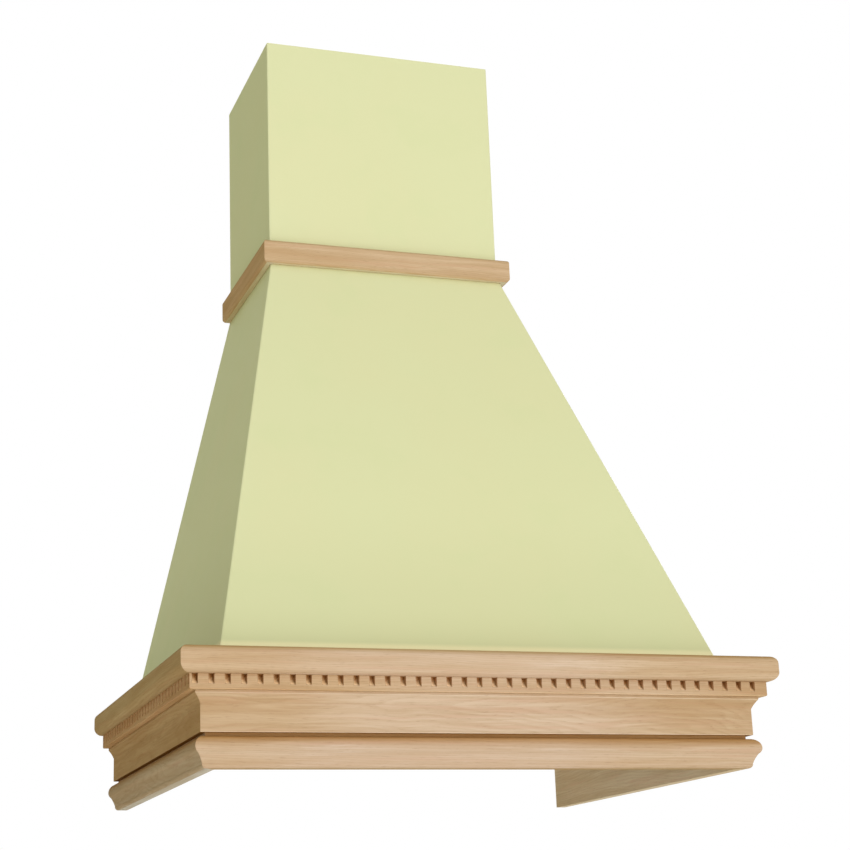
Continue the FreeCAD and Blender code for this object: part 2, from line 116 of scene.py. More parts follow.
class Graph:
    """A material's node tree, with one short call for each kind of node used here."""

    def __init__(self, name):
        self.material = bpy.data.materials.new(name)
        self.material.use_nodes = True
        self.tree = self.material.node_tree
        self.tree.nodes.clear()

    def add(self, kind, **settings):
        node = self.tree.nodes.new("ShaderNode" + kind)
        for key, value in settings.items():
            setattr(node, key, value)
        return node

    def feed(self, socket, value):
        """Sets a socket to a number or a colour, or links it to another node's output."""
        if isinstance(value, bpy.types.NodeSocket):
            self.tree.links.new(value, socket)
        elif value is not None:
            socket.default_value = value

    def math(self, operation, a, b=None, c=None, clamp=False):
        node = self.add("Math", operation=operation, use_clamp=clamp)
        for socket, value in zip(node.inputs, (a, b, c)):
            self.feed(socket, value)
        return node.outputs[0]

    def vector(self, operation, a, b=None):
        node = self.add("VectorMath", operation=operation)
        self.feed(node.inputs[0], a)
        if b is not None:
            self.feed(node.inputs[1], b)
        return node.outputs["Value" if operation in ("DOT_PRODUCT", "LENGTH") else "Vector"]

    def combine(self, x, y, z):
        node = self.add("CombineXYZ")
        for socket, value in zip(node.inputs, (x, y, z)):
            self.feed(socket, value)
        return node.outputs[0]

    def separate(self, vector):
        node = self.add("SeparateXYZ")
        self.feed(node.inputs[0], vector)
        return tuple(node.outputs)

    def noise(self, vector, scale=1.0, detail=2.0, roughness=0.5):
        """A noise from 0 to 1. The scale is its features to a unit of its coordinates."""
        node = self.add("TexNoise")
        self.feed(node.inputs["Vector"], vector)
        node.inputs["Scale"].default_value = scale
        node.inputs["Detail"].default_value = detail
        node.inputs["Roughness"].default_value = roughness
        return node.outputs[0]

    def span(self, value, low, high, to_low=0.0, to_high=1.0):
        """Value mapped from one span to another, held at the ends, with a smooth step."""
        node = self.add("MapRange", interpolation_type="SMOOTHSTEP")
        for socket, number in zip(node.inputs, (value, low, high, to_low, to_high)):
            self.feed(socket, number)
        return node.outputs[0]

    def normal_part(self, axis):
        """A part of the surface's true normal: 0, 1 or 2 for x, y or z."""
        return self.separate(self.add("NewGeometry").outputs["True Normal"])[axis]

    def centred(self, noise, size):
        """A noise from 0 to 1 as one of that size about zero."""
        return self.math("MULTIPLY_ADD", noise, size, -0.5 * size)

    def mix(self, share, a, b, blend="MIX"):
        node = self.add("Mix", data_type="RGBA", blend_type=blend)
        self.feed(node.inputs[0], share)
        self.feed(node.inputs[6], a)
        self.feed(node.inputs[7], b)
        return node.outputs[2]

    def place(self):
        """The point of the surface in the part's frame, in millimetres."""
        coordinates = self.add("TexCoord").outputs["Object"]
        node = self.add("VectorMath", operation="SCALE")
        self.feed(node.inputs[0], coordinates)
        node.inputs["Scale"].default_value = 1 / MM
        return node.outputs[0]

    def arris(self):
        """1 on the sanded arrises of a piece, and 0 elsewhere."""
        return self.add("Attribute", attribute_name="arris").outputs["Fac"]

    def shaded(self, share, colour, shade):
        """The colour multiplied by a shade, as far as the share goes."""
        return self.mix(share, colour, (*shade, 1.0), "MULTIPLY")

    def in_corners(self, colour, reach_mm, shade, shut, clear):
        """The colour multiplied by a painted shade where a corner or a groove closes in.

        shut and clear are the open shares of the surroundings at which the shade is
        full and at which it ends."""
        node = self.add("AmbientOcclusion", samples=CORNER_RAYS)
        node.inputs["Distance"].default_value = reach_mm * MM
        closed = self.span(node.outputs["AO"], shut, clear, 1.0, 0.0)
        return self.shaded(closed, colour, shade)

    def bump(self, height, distance_mm, strength):
        node = self.add("Bump")
        node.inputs["Distance"].default_value = distance_mm * MM
        node.inputs["Strength"].default_value = strength
        self.feed(node.inputs["Height"], height)
        return node.outputs[0]

    def finish(self, shader):
        output = self.add("OutputMaterial")
        self.tree.links.new(shader, output.inputs["Surface"])
        return self.material

    def surface(self, colour, roughness, normal, **constants):
        shader = self.add("BsdfPrincipled")
        self.feed(shader.inputs["Base Color"], colour)
        self.feed(shader.inputs["Roughness"], roughness)
        self.feed(shader.inputs["Normal"], normal)
        for name, value in constants.items():
            shader.inputs[name.replace("_", " ")].default_value = value
        return shader.outputs[0]


# ------------------------------------------------------------------ wood

# Colours of a species: its light and middle wood, a rosy and a tan band, its growth
# rings and its pores. pitch is a year's growth in mm, and the shares say how strongly
# rings, streaks and pores show.
OAK = {
    "light": srgb(221, 194, 164),
    "middle": srgb(206, 175, 141),
    "rosy": srgb(214, 177, 147),
    "tan": srgb(199, 163, 122),
    "ring": srgb(182, 143, 102),
    "pore": srgb(148, 110, 74),
    "pitch": 2.1,
    "rings": 0.16,
    "pores": 0.35,
    "roughness": 0.74,
}
PINE = {
    "light": srgb(234, 208, 160),
    "middle": srgb(224, 192, 140),
    "rosy": srgb(226, 188, 140),
    "tan": srgb(214, 172, 112),
    "ring": srgb(190, 134, 76),
    "pore": srgb(190, 140, 84),
    "pitch": 3.6,
    "rings": 0.75,
    "pores": 0.08,
    "roughness": 0.68,
}
BEECH = {
    "light": srgb(222, 186, 146),
    "middle": srgb(210, 170, 128),
    "rosy": srgb(214, 168, 132),
    "tan": srgb(200, 156, 112),
    "ring": srgb(184, 138, 98),
    "pore": srgb(150, 104, 66),
    "pitch": 2.0,
    "rings": 0.25,
    "pores": 0.35,
    "roughness": 0.5,
}

# Features of a wood: how long they are along the grain and how wide across it, in mm.
WANDER = (130, 30)
SWAY = (420, 90)
WAVER = (70, 9)
STREAK = (60, 1.5)
LIVELY = (90, 16)
BAND = (240, 7)
FLUSH = (160, 4)
BLOTCH = (260, 42)
PORE = (9, 0.42)
VENEER_STREAK = (120, 2.2)

# Each piece is cut from its own place in the wood, in mm. Its growth rings lie round a
# pith at a distance in mm, in a direction in radians, and lean along the board.
CUT_FROM = (200, 900)
PITH_TURN = (0.65, 0.95)
PITH_REACH = (60, 110)
PITH_LEAN = (-0.03, 0.03)
WANDER_SIZE = 9.0  # mm that the fibres wander sideways
SWAY_SIZE = 34.0  # mm that the rings sway, and then waver
WAVER_SIZE = 2.4
UNEVEN_SPAN = 14.0  # mm over which good years turn to poor ones
UNEVEN_YEARS = 2.5
RING_STARTS = (0.0, 0.12)  # shares of a year in which its porous wood starts
RING_FADES = (0.18, 0.75)

# A painted highlight on the sanded arrises: its pale colour and how much of it shows.
ARRIS_HIGHLIGHT = srgb(236, 214, 180)
ARRIS_HIGHLIGHT_SHARE = 0.45
ARRIS_HIGHLIGHT_SHARE_FAINT = 0.08  # on the left side and on the dentils

# A brown painted shade in corners and grooves, found by an occlusion test: how far it
# reaches in mm, and the open shares of the surroundings at which it is full and at which
# it ends, which is sooner on three mouldings.
CORNER_SHADE = (0.80, 0.58, 0.32)
CORNER_REACH = 9.0
CORNER_SHUT = 0.1
CORNER_CLEAR = 0.65
MOULDING_CLEAR = {"dentil_strip": 0.42, "frieze": 0.4, "collar": 0.3}

# What the colour of each oak piece is multiplied by. On the left pieces it is painted
# shade, on carcass_front painted shade in the shadow groove, and on carcass_right painted
# light on its inner face; the other tints are the boards' own colour.
OAK_TINTS_AND_SHADES = {
    "collar_front": (0.92, 0.90, 0.81),
    "collar_left": (0.88, 0.79, 0.60),
    "cornice_front": (0.92, 0.95, 0.99),
    "cornice_left": (0.71, 0.66, 0.47),
    "dentil_strip_front": (0.84, 0.82, 0.77),
    "dentil_strip_left": (0.79, 0.66, 0.48),
    "frieze_front": (0.875, 0.895, 0.90),
    "frieze_left": (0.72, 0.63, 0.44),
    "lower_rail_front": (0.91, 0.96, 1.06),
    "lower_rail_left": (0.70, 0.70, 0.64),
    "carcass_front": (0.74, 0.66, 0.45),
    "carcass_right": (1.14, 1.28, 1.34),
}

# The front boards are paler in their middle: its place on each, in mm from the middle
# of the cover, and how far from there they begin to turn tan and are fully tan.
PALE_MIDDLE = {
    "cornice_front": -40.0,
    "dentil_strip_front": 50.0,
    "frieze_front": 0.0,
    "lower_rail_front": -40.0,
}
ENDS_TAN = (0.91, 0.86, 0.75)
ENDS_REACH = (90.0, 220.0)

# Painted shade and light that change with a moulding's height: the height in mm of the
# full change, the height where it ends, and what it multiplies the colour by. The top of
# the lower rail's bead, the cornice's top round and the collar's top get painted shade,
# and the frieze's bottom edge a painted highlight.
PAINTED_HEIGHT_SHADES = {
    "lower_rail": (29.5, 17.0, (0.80, 0.59, 0.30)),
    "cornice": (107.8, 102.0, (0.86, 0.76, 0.54)),
    "frieze": (32.0, 33.4, (1.08, 1.05, 1.02)),
    "collar": (617.5, 613.5, (0.84, 0.86, 0.80)),
}

# Painted light and shade on the faces that look down, for a piece or a moulding: what
# they multiply the colour by. The frieze's underside in the groove gets painted shade, the
# others painted light from below.
UNDERSIDE_LIGHT_AND_SHADE = {
    "lower_rail_left": (0.90, 1.12, 1.45),
    "lower_rail": (0.94, 1.02, 1.12),
    "carcass_left": (0.90, 1.10, 1.35),
    "frieze": (0.78, 0.74, 0.46),
    "dentil_strip": (1.12, 1.16, 1.16),
    "collar": (1.25, 1.60, 2.00),
}
LOOKS_DOWN = -0.98  # the upward part of such a face's normal, at the most

# The floors of the front notches, with painted light where they are shallow and painted
# shade where they are deep: what multiplies their colour there, and those depths in mm.
# Floors look out of the strip, and start behind its sanded arrises.
NOTCH_SHALLOW_LIGHT = (1.60, 1.65, 1.65, 1.0)
NOTCH_DEEP_SHADE = (0.80, 0.68, 0.50, 1.0)
NOTCH_DEPTHS = (0.8, 5.0)
NOTCH_START = 0.4
LOOKS_OUT = -0.35


def grain_axes(graph, grain, draw):
    """Coordinates in mm along the grain and across it, shifted by a piece's own draw."""
    x, y, z = graph.separate(graph.place())
    along, across, deep = {"x": (x, y, z), "y": (y, x, z), "z": (z, x, y)}[grain]
    shift = [draw.uniform(*CUT_FROM) for _ in range(3)]
    return tuple(graph.math("ADD", a, s) for a, s in zip((along, across, deep), shift))


def stretched(graph, axes, long, wide):
    """Those coordinates measured in features of a length and a width in mm."""
    along, across, deep = axes
    return graph.combine(
        graph.math("MULTIPLY", along, 1 / long),
        graph.math("MULTIPLY", across, 1 / wide),
        graph.math("MULTIPLY", deep, 1 / wide),
    )


def wandering(graph, axes):
    """Coordinates along and across the grain, pushed sideways as fibres wander."""
    along, across, deep = axes
    wave = graph.noise(stretched(graph, axes, *WANDER), detail=2.0)
    push = graph.centred(wave, WANDER_SIZE)
    return (along, graph.math("ADD", across, push), graph.math("ADD", deep, push))


def growth_rings(graph, axes, pitch, draw):
    """How near a point is to the porous start of a year's ring, from 0 to 1."""
    along, across, deep = axes
    turn = draw.uniform(*PITH_TURN)
    reach = draw.uniform(*PITH_REACH)
    lean = draw.uniform(*PITH_LEAN)
    sway = graph.noise(stretched(graph, axes, *SWAY), detail=1.0)
    sway = graph.centred(sway, SWAY_SIZE)
    waver = graph.noise(stretched(graph, axes, *WAVER), detail=3.0)
    waver = graph.centred(waver, WAVER_SIZE)
    # The pith lies outside the board, seen from the middle of where pieces are cut.
    middle = sum(CUT_FROM) / 2
    pith_across = graph.math("MULTIPLY_ADD", along, lean, reach * math.cos(turn) - middle)
    side = graph.math("ADD", across, pith_across)
    depth = graph.math("ADD", deep, reach * math.sin(turn) - middle)
    radius = graph.vector("LENGTH", graph.combine(side, depth, 0.0))
    radius = graph.math("ADD", radius, graph.math("ADD", sway, waver))
    years = graph.math("DIVIDE", radius, pitch)
    weather = graph.combine(graph.math("DIVIDE", radius, UNEVEN_SPAN), 0.0, 0.0)
    uneven = graph.math("MULTIPLY", graph.noise(weather, detail=2.0), UNEVEN_YEARS)
    year = graph.math("FRACT", graph.math("ADD", years, uneven))
    start = graph.span(year, *RING_STARTS)
    fade = graph.span(year, *RING_FADES, 1.0, 0.0)
    return graph.math("MULTIPLY", start, fade)


def tan_ends(graph, colour, middle):
    """The colour of a front board, which turns tan towards its two ends."""
    x = graph.separate(graph.place())[0]
    off = graph.math("ABSOLUTE", graph.math("SUBTRACT", x, middle))
    return graph.shaded(graph.span(off, *ENDS_REACH), colour, ENDS_TAN)


def with_height(graph, colour, full, none, shade):
    """The colour multiplied by a painted shade or light that grows from one height to
    another.
    """
    height = graph.separate(graph.place())[2]
    return graph.shaded(graph.span(height, none, full), colour, shade)


def on_undersides(graph, colour, shade):
    """The colour multiplied by a painted light or shade on the faces that look down."""
    share = graph.math("LESS_THAN", graph.normal_part(2), LOOKS_DOWN)
    return graph.shaded(share, colour, shade)


def notch_floors(graph, colour, face_mm):
    """The front dentil strip's colour, with painted light and shade in its notch floors."""
    depth = graph.math("SUBTRACT", graph.separate(graph.place())[1], face_mm)
    shade = graph.mix(graph.span(depth, *NOTCH_DEPTHS), NOTCH_SHALLOW_LIGHT, NOTCH_DEEP_SHADE)
    floor = graph.math("LESS_THAN", graph.normal_part(1), LOOKS_OUT)
    inside = graph.math("MULTIPLY", floor, graph.math("GREATER_THAN", depth, NOTCH_START))
    return graph.mix(inside, colour, shade, "MULTIPLY")


def as_placed(graph, colour, node, moulding):
    """The wood's colour changed as the piece's place in the cover asks."""
    # Tints, which on some pieces are painted shade or painted light.
    if node in OAK_TINTS_AND_SHADES:
        colour = graph.shaded(1.0, colour, OAK_TINTS_AND_SHADES[node])
    if node in PALE_MIDDLE:
        colour = tan_ends(graph, colour, PALE_MIDDLE[node])
    # Painted shade and highlight that change with height.
    if moulding in PAINTED_HEIGHT_SHADES:
        colour = with_height(graph, colour, *PAINTED_HEIGHT_SHADES[moulding])
    # Painted light and shade on the faces that look down.
    underside = UNDERSIDE_LIGHT_AND_SHADE.get(node, UNDERSIDE_LIGHT_AND_SHADE.get(moulding))
    if underside:
        colour = on_undersides(graph, colour, underside)
    # Painted light and shade in the notch floors.
    if node == "dentil_strip_front":
        colour = notch_floors(graph, colour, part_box(node)[0].y / MM)
    # A painted highlight on the arrises, fainter on the left side and on the dentils.
    faint = node.endswith("_left") or moulding == "dentil_strip"
    highlight_share = ARRIS_HIGHLIGHT_SHARE_FAINT if faint else ARRIS_HIGHLIGHT_SHARE
    highlight_share = graph.math("MULTIPLY", graph.arris(), highlight_share)
    colour = graph.mix(highlight_share, colour, ARRIS_HIGHLIGHT, "SCREEN")
    # Painted shade in corners and grooves.
    clear = MOULDING_CLEAR.get(moulding, CORNER_CLEAR)
    return graph.in_corners(colour, CORNER_REACH, CORNER_SHADE, CORNER_SHUT, clear)


def wood(node, slot, species, grain, seed):
    """Planed, unfinished wood: rings, streaks, pores and the blotches of the board."""
    draw = random.Random(seed)
    graph = Graph(node + "_" + slot)
    axes = wandering(graph, grain_axes(graph, grain, draw))
    ring = growth_rings(graph, axes, species["pitch"], draw)
    streak = graph.noise(stretched(graph, axes, *STREAK), detail=4.0, roughness=0.62)
    lively = graph.noise(stretched(graph, axes, *LIVELY), detail=1.0)
    band = graph.noise(stretched(graph, axes, *BAND), detail=3.0)
    flush = graph.noise(stretched(graph, axes, *FLUSH), detail=2.0)
    blotch = graph.noise(stretched(graph, axes, *BLOTCH), detail=2.0)
    dash = graph.noise(stretched(graph, axes, *PORE), detail=1.0)
    pore = graph.span(dash, 0.60, 0.72)
    pore = graph.math("MULTIPLY", pore, graph.math("MULTIPLY_ADD", ring, 0.75, 0.25))

    contrast = graph.span(lively, 0.35, 0.65, 0.25, 0.95)
    fibre = graph.math("SUBTRACT", graph.span(streak, 0.3, 0.7), 0.5)
    tone = graph.math("MULTIPLY_ADD", fibre, contrast, graph.span(band, 0.3, 0.7), clamp=True)
    colour = graph.mix(tone, species["light"], species["middle"])
    colour = graph.mix(graph.span(flush, 0.5, 0.72, 0.0, 0.65), colour, species["rosy"])
    colour = graph.mix(graph.span(blotch, 0.45, 0.68, 0.0, 0.4), colour, species["tan"])
    share = graph.math("MULTIPLY", ring, species["rings"])
    colour = graph.mix(share, colour, species["ring"])
    share = graph.math("MULTIPLY", pore, species["pores"])
    colour = graph.mix(share, colour, species["pore"])
    colour = as_placed(graph, colour, node, node.rpartition("_")[0])

    roughness = graph.math("MULTIPLY_ADD", streak, 0.16, species["roughness"] - 0.08)
    roughness = graph.math("MULTIPLY_ADD", pore, 0.18, roughness)
    height = graph.math("MULTIPLY_ADD", streak, 0.45, graph.math("MULTIPLY", ring, -0.25))
    height = graph.math("MULTIPLY_ADD", pore, -0.8, height)
    normal = graph.bump(height, 0.12, 0.6)
    return graph.finish(graph.surface(colour, roughness, normal, Specular_IOR_Level=0.03))


# ------------------------------------------------------------------ painted board

PAINT = srgb(223, 224, 175)
PAINT_WARM = srgb(224, 223, 174)
PAINT_FRESH = srgb(220, 223, 172)
PAINT_THIN = srgb(232, 232, 190)
BOARD_FACE = srgb(172, 136, 96)
BOARD_DARK = srgb(158, 122, 83)
BOARD_PALE = srgb(184, 149, 109)
PAINT_WRAP = 3.0  # mm that the paint runs on average round the outer edges

# The paint has painted shade towards the canopy's foot, and a painted line of light just
# above the ledge of oak: each change in the same form as the mouldings' height shades.
FOOT_PAINTED_SHADE = (120.0, 290.0, (0.92, 0.925, 0.91))
FOOT_PAINTED_LIGHT = (115.5, 121.5, (1.30, 1.20, 1.27))

# Noises of a painted board: how many features to a mm, and their detail and roughness,
# and how far each board's own are shifted, in mm.
SHIFT = (100, 900)
CLOUD = (0.006, 2.0)
PATCH = (0.018, 3.0)
STIPPLE = (0.9, 3.0, 0.6)
SWEEP = (0.045, 2.0)
MOTTLE = (0.05, 3.0)
RAGGED = (0.12, 4.0, 0.7)


def painted(name, outside, face_point, seed):
    """Satin paint on the outer face, and the raw fibreboard inside and on cut edges."""
    draw = random.Random(seed)
    graph = Graph(name)
    place = graph.place()
    own = graph.vector("ADD", place, tuple(draw.uniform(*SHIFT) for _ in range(3)))
    true_normal = graph.add("NewGeometry").outputs["True Normal"]
    facing = graph.vector("DOT_PRODUCT", true_normal, outside)
    inwards = graph.vector("SUBTRACT", tuple(v / MM for v in face_point), place)
    depth = graph.vector("DOT_PRODUCT", inwards, outside)

    cloud = graph.span(graph.noise(own, *CLOUD), 0.4, 0.66, 0.0, 0.7)
    patch = graph.span(graph.noise(own, *PATCH), 0.5, 0.75, 0.0, 0.5)
    colour = graph.mix(cloud, PAINT, PAINT_WARM)
    colour = graph.mix(patch, colour, PAINT_FRESH)
    arris = graph.span(facing, 0.93, 0.8)
    colour = graph.mix(graph.math("MULTIPLY", arris, 0.5), colour, PAINT_THIN)
    # Painted shade and a painted line of light at the canopy's foot.
    for change in (FOOT_PAINTED_SHADE, FOOT_PAINTED_LIGHT):
        colour = with_height(graph, colour, *change)
    stipple = graph.noise(own, *STIPPLE)
    paint_roughness = graph.math("MULTIPLY_ADD", graph.noise(own, *SWEEP), 0.14, 0.36)
    paint_roughness = graph.math("MULTIPLY_ADD", stipple, 0.06, paint_roughness)

    fibre = graph.noise(graph.vector("MULTIPLY", own, (1.4, 1.4, 0.9)), 1.0, 5.0, 0.7)
    mottle = graph.span(graph.noise(own, *MOTTLE), 0.35, 0.75, 0.0, 0.5)
    raw = graph.mix(graph.span(fibre, 0.35, 0.7), BOARD_FACE, BOARD_DARK)
    raw = graph.mix(mottle, raw, BOARD_PALE)

    ragged = graph.math("MULTIPLY", graph.noise(own, *RAGGED), 2 * PAINT_WRAP)
    wrapped = graph.math("LESS_THAN", depth, ragged)
    outer = graph.math("GREATER_THAN", facing, 0.3)
    bare = graph.math("SUBTRACT", 1.0, graph.math("MAXIMUM", outer, wrapped))

    colour = graph.mix(bare, colour, raw)
    roughness = graph.math("MULTIPLY_ADD", bare, 0.35, paint_roughness)
    grit = graph.math("MULTIPLY", graph.math("MULTIPLY", fibre, bare), 3.0)
    height = graph.math("MULTIPLY_ADD", graph.math("SUBTRACT", 1.0, bare), stipple, grit)
    normal = graph.bump(height, 0.03, 0.5)
    return graph.finish(graph.surface(colour, roughness, normal, Specular_IOR_Level=0.012))


# ------------------------------------------------------------------ plywood and steel

PLY_COUNT = 9
PLY_WAVE = 0.6  # mm that the layers wave
VENEER_PITCH = 6.0  # mm between the rings of a veneer
PLY_DARK = srgb(176, 128, 84)
PLY_PALE = srgb(216, 180, 136)
GLUE_LINE = srgb(120, 82, 52)


def plywood(name, grain, bottom, top, seed):
    """Oak veneer on the flat faces, and the layers on the cut edges."""
    draw = random.Random(seed)
    graph = Graph(name)
    axes = grain_axes(graph, grain, draw)
    height = graph.separate(graph.place())[2]
    streak = graph.noise(stretched(graph, axes, *VENEER_STREAK), detail=4.0, roughness=0.6)
    cathedral = growth_rings(graph, axes, VENEER_PITCH, draw)
    veneer = graph.mix(graph.span(streak, 0.34, 0.66), OAK["light"], OAK["middle"])
    veneer = graph.mix(graph.math("MULTIPLY", cathedral, 0.4), veneer, OAK["ring"])

    thickness = (top - bottom) / MM / PLY_COUNT
    wave = graph.noise(graph.place(), 0.03, 2.0)
    wave = graph.math("MULTIPLY_ADD", wave, PLY_WAVE, -0.5 * PLY_WAVE - bottom / MM)
    layer = graph.math("DIVIDE", graph.math("ADD", height, wave), thickness)
    pair = graph.math("FRACT", graph.math("MULTIPLY", layer, 0.5))
    odd = graph.math("GREATER_THAN", pair, 0.5)
    speck = graph.noise(graph.place(), 1.6, 4.0, 0.7)
    edge = graph.mix(odd, PLY_PALE, PLY_DARK)
    edge = graph.mix(graph.span(speck, 0.4, 0.75, 0.0, 0.6), edge, GLUE_LINE)
    seam = graph.math("ABSOLUTE", graph.math("SUBTRACT", graph.math("FRACT", layer), 0.5))
    edge = graph.mix(graph.span(seam, 0.44, 0.5, 0.0, 0.7), edge, GLUE_LINE)

    flat = graph.span(graph.math("ABSOLUTE", graph.normal_part(2)), 0.6, 0.8)
    colour = graph.mix(flat, edge, veneer)
    roughness = graph.math("MULTIPLY_ADD", streak, 0.15, 0.55)
    roughness = graph.math("MULTIPLY_ADD", graph.math("SUBTRACT", 1.0, flat), 0.15, roughness)
    rise = graph.math("ADD", streak, graph.math("MULTIPLY", speck, 1.5))
    normal = graph.bump(rise, 0.06, 0.6)
    return graph.finish(graph.surface(colour, roughness, normal, Specular_IOR_Level=0.3))


def passivated_steel(name):
    """Yellow-passivated zinc: a golden metal with cooler and rosier patches."""
    graph = Graph(name)
    place = graph.place()
    patch = graph.noise(place, 0.35, 3.0)
    scratch = graph.noise(graph.vector("MULTIPLY", place, (0.6, 6.0, 6.0)), 1.0, 4.0, 0.7)
    golden, cool = srgb(214, 190, 122), srgb(196, 196, 168)
    colour = graph.mix(graph.span(patch, 0.35, 0.65), golden, cool)
    colour = graph.mix(graph.span(patch, 0.6, 0.8, 0.0, 0.5), colour, srgb(206, 164, 132))
    roughness = graph.math("MULTIPLY_ADD", scratch, 0.3, 0.2)
    normal = graph.bump(scratch, 0.02, 0.4)
    return graph.finish(graph.surface(colour, roughness, normal, Metallic=1.0))


def pale_floor(name):
    """A pale floor that keeps the cover's shadow and fades into the white around it."""
    graph = Graph(name)
    place = graph.place()
    speck = graph.noise(place, 0.02, 4.0, 0.6)
    colour = graph.mix(graph.span(speck, 0.3, 0.7), srgb(240, 240, 238), srgb(246, 246, 245))
    rough = graph.math("MULTIPLY_ADD", speck, 0.1, 0.7)
    body = graph.surface(colour, rough, graph.bump(speck, 0.2, 0.2), Specular_IOR_Level=0.2)
    glow = graph.add("Emission")
    glow.inputs["Color"].default_value = (1.0, 1.0, 1.0, 1.0)
    flat = graph.vector("MULTIPLY", place, (MM, MM, 0.0))
    near_edge, far_edge = (FLOOR_RADIUS * share for share in FLOOR_FADE)
    far = graph.span(graph.vector("LENGTH", flat), near_edge, far_edge)
    path = graph.add("LightPath")
    seen = graph.math("MAXIMUM", path.outputs["Is Camera Ray"], path.outputs["Is Glossy Ray"])
    seen = graph.math("MAXIMUM", seen, path.outputs["Is Transmission Ray"])
    blend = graph.add("MixShader")
    graph.feed(blend.inputs[0], graph.math("MULTIPLY", seen, far))
    graph.feed(blend.inputs[1], body)
    graph.feed(blend.inputs[2], glow.outputs[0])
    return graph.finish(blend.outputs[0])


# ------------------------------------------------------------------ pieces

WELD = 2e-6  # m within which vertices are one
FLAT_DEGREES = 0.5
SHARP_DEGREES = 32
ARRIS_DEGREES = 35  # an edge that turns by less than this is not sanded


def new_piece(name, shape):
    """An object made of a bmesh, which this call uses up."""
    mesh = bpy.data.meshes.new(name)
    shape.to_mesh(mesh)
    shape.free()
    piece = bpy.data.objects.new(name, mesh)
    bpy.context.scene.collection.objects.link(piece)
    return piece


def welded_solid(node):
    """A CAD node's shape as a bmesh."""
    solid = bmesh.new()
    solid.from_mesh(frame["nodes"][node].data)
    bmesh.ops.remove_doubles(solid, verts=solid.verts, dist=WELD)
    return solid


def clean_solid(node):
    """A CAD node's shape as a bmesh with its flat faces whole."""
    solid = welded_solid(node)
    bmesh.ops.dissolve_limit(
        solid, angle_limit=math.radians(FLAT_DEGREES), verts=solid.verts, edges=solid.edges
    )
    solid.normal_update()
    return solid


def is_mitre(face):
    """True for a face that meets its twin in a mitred front corner."""
    x, y, _ = face.normal
    side = math.copysign(1.0, face.calc_center_median().x)
    return abs(x) > 0.5 and abs(y) > 0.5 and x * y * side > 0


def smooth_shading(piece, sharp_degrees=SHARP_DEGREES):
    piece.data.polygons.foreach_set("use_smooth", [True] * len(piece.data.polygons))
    piece.data.set_sharp_from_angle(angle=math.radians(sharp_degrees))
    weights = piece.modifiers.new("even_normals", "WEIGHTED_NORMAL")
    weights.keep_sharp = True


# How far the arrises of each slot are sanded back, in mm.
ARRIS = {
    "oak": 0.35,
    "paint": 0.3,
    "plywood": 0.4,
    "softwood": 0.9,
    "beech": 0.4,
}
NARROW = 0.055  # mm: a facet no wider than this is part of a sanded arris


def eased(node, slot):
    """The finished piece that stands for a node: the same shape, its arrises sanded."""
    solid = clean_solid(node)
    mark = solid.faces.layers.float.new("arris")
    for face in solid.faces:
        longest = max(edge.calc_length() for edge in face.edges)
        face[mark] = 1.0 if face.calc_area() < longest * NARROW * MM else 0.0
    corners = []
    for edge in solid.edges:
        faces = edge.link_faces
        if len(faces) != 2 or not edge.is_convex:
            continue
        if edge.calc_face_angle() < math.radians(ARRIS_DEGREES):
            continue
        if not any(is_mitre(face) for face in faces):
            corners.append(edge)
    made = bmesh.ops.bevel(
        solid,
        geom=corners,
        offset=ARRIS[slot] * MM,
        offset_type="OFFSET",
        segments=2,
        profile=0.5,
        affect="EDGES",
        clamp_overlap=True,
    )
    for face in made["faces"]:
        face[mark] = 1.0
    piece = new_piece(node + "_finished", solid)
    smooth_shading(piece)
    return piece


def settle(piece, node, material):
    """Gives a piece its material and body, and hides the node that it stands for."""
    piece.data.materials.append(material)
    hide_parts(node)
    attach(piece, "root")


def outer_face(node):
    """The normal and a point of a board's largest face, which is its outer one."""
    solid = clean_solid(node)
    face = max(solid.faces, key=lambda f: f.calc_area())
    result = (tuple(face.normal), tuple(face.calc_center_median()))
    solid.free()
    return result


# Screws, in mm
RECESS_REACH = 2.1
RECESS_ARM = 0.55
RECESS_DEPTH = 1.7
RECESS_FLOOR = 0.55  # share of its mouth
RECESS_RIM = 0.05  # how far its mouth lies below the top of the head
HEAD_HEIGHT = 2.6
NECK_HEIGHT = 0.3
HEAD_RIM = ((0.93, 0.0), (1.0, 0.12))  # shares of its radius, and depths
SCREW_CORE = 1.15
SCREW_PITCH = 1.9
SCREW_TAPER = 6.0
SCREW_TIP = 0.05
BARE_TIP = 1.0  # the end of the shank that has no thread
THREAD_STEPS = 5
THREAD_CREST = 4.5  # how steep a thread rises
PLAIN_SHARE = 0.35  # of the shank, under the head
SCREW_SHARP_DEGREES = 40


def recess_radius(angle):
    """How far a cross-shaped recess reaches at an angle."""
    turn = angle % (math.pi / 2)
    turn = min(turn, math.pi / 2 - turn)
    if math.tan(turn) < RECESS_ARM / RECESS_REACH:
        return RECESS_REACH / math.cos(turn)
    return RECESS_ARM / math.sin(turn)


